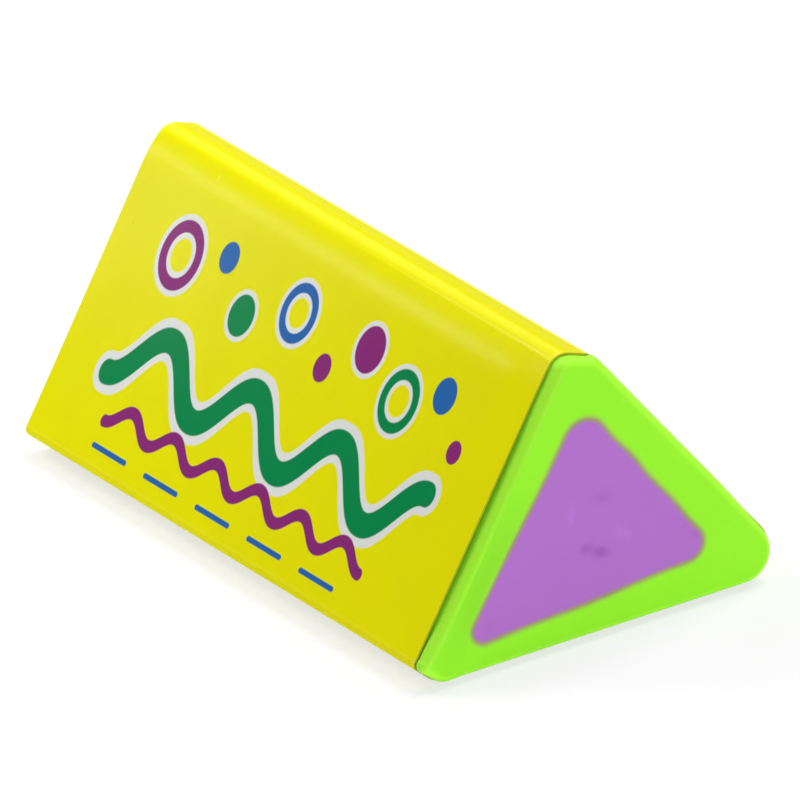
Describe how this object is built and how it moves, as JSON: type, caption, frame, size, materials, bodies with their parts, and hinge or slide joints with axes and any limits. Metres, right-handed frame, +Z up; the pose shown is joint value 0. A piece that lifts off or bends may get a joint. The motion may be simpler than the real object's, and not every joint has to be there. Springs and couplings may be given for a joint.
{
  "type": "triangular eraser",
  "caption": "Triangular eraser: a green rubber bar with a purple core that slides in a snug folded card sleeve with a narrow ridge panel and a glued seam under its base.",
  "frame": {"origin": "on the table under the middle of the part's box", "axes": "+X along the eraser towards the end that stands out of the sleeve, -Y the printed front panel, +Z up to the ridge"},
  "size_m": [0.046, 0.023, 0.0171],
  "materials": {
    "green_rubber": "soft matte",
    "purple_rubber": "soft matte",
    "printed_card": "coated, soft gloss",
    "dry_glue": "dry film"
  },
  "bodies": {
    "sleeve": {"card_sleeve": "printed_card", "flap_glue": "dry_glue"},
    "eraser": {"outer_layer": "green_rubber", "core": "purple_rubber"}
  },
  "joints": [
    {"name": "eraser_slide", "type": "slide", "parent": "sleeve", "child": "eraser", "axis": [1, 0, 0], "range_m": [-0.048, 0.046]}
  ]
}
